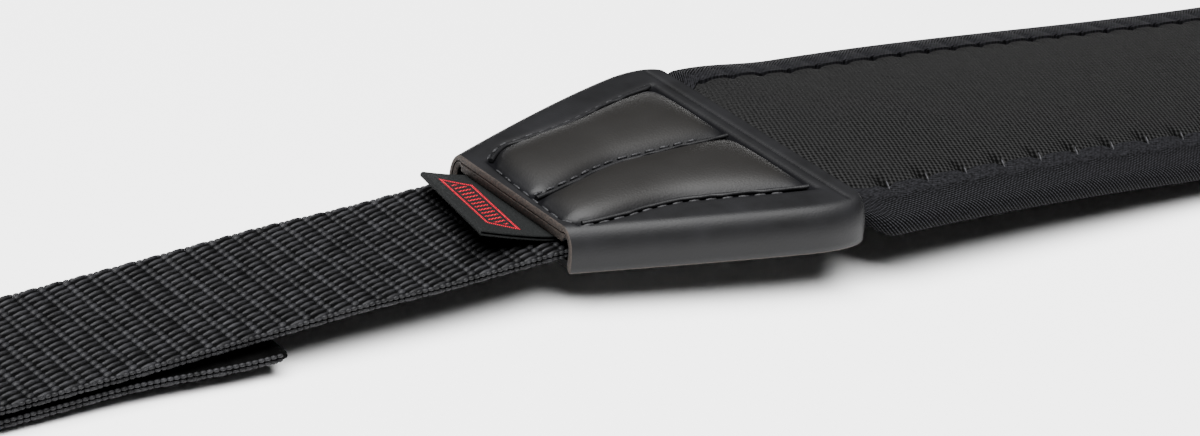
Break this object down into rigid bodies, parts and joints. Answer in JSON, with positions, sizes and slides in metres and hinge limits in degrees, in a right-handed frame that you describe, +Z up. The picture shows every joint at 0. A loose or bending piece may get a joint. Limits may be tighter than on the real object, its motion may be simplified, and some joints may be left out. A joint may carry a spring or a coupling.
{
  "type": "camera neck strap",
  "caption": "Padded camera neck strap lying flat: bound foam neck pad, stitched leatherette end pieces, and webbing arms doubled back through eyes at both ends.",
  "frame": {"origin": "middle of the pad's underside, on the surface that the strap lies on", "axes": "+X along the strap away from the labelled end, +Y across it, +Z up from the surface"},
  "size_m": [0.904, 0.0628, 0.0163],
  "materials": {
    "webbing": "coarse black woven nylon webbing",
    "leatherette": "smooth satin black leatherette",
    "neoprene": "charcoal jersey knit over foam rubber",
    "binding": "black fine twill tape",
    "label": "dark grey satin ribbon with a red printed border",
    "keeper": "moulded black acetal"
  },
  "bodies": {
    "root": {"neck_pad": "neoprene", "edge_binding_near": "binding", "edge_binding_far": "binding", "yoke_cover_left": "leatherette", "yoke_back_left": "leatherette", "webbing_left": "webbing", "keeper_left": "keeper", "side_label": "label", "yoke_cover_right": "leatherette", "yoke_back_right": "leatherette", "webbing_right": "webbing", "keeper_right": "keeper"}
  },
  "joints": []
}
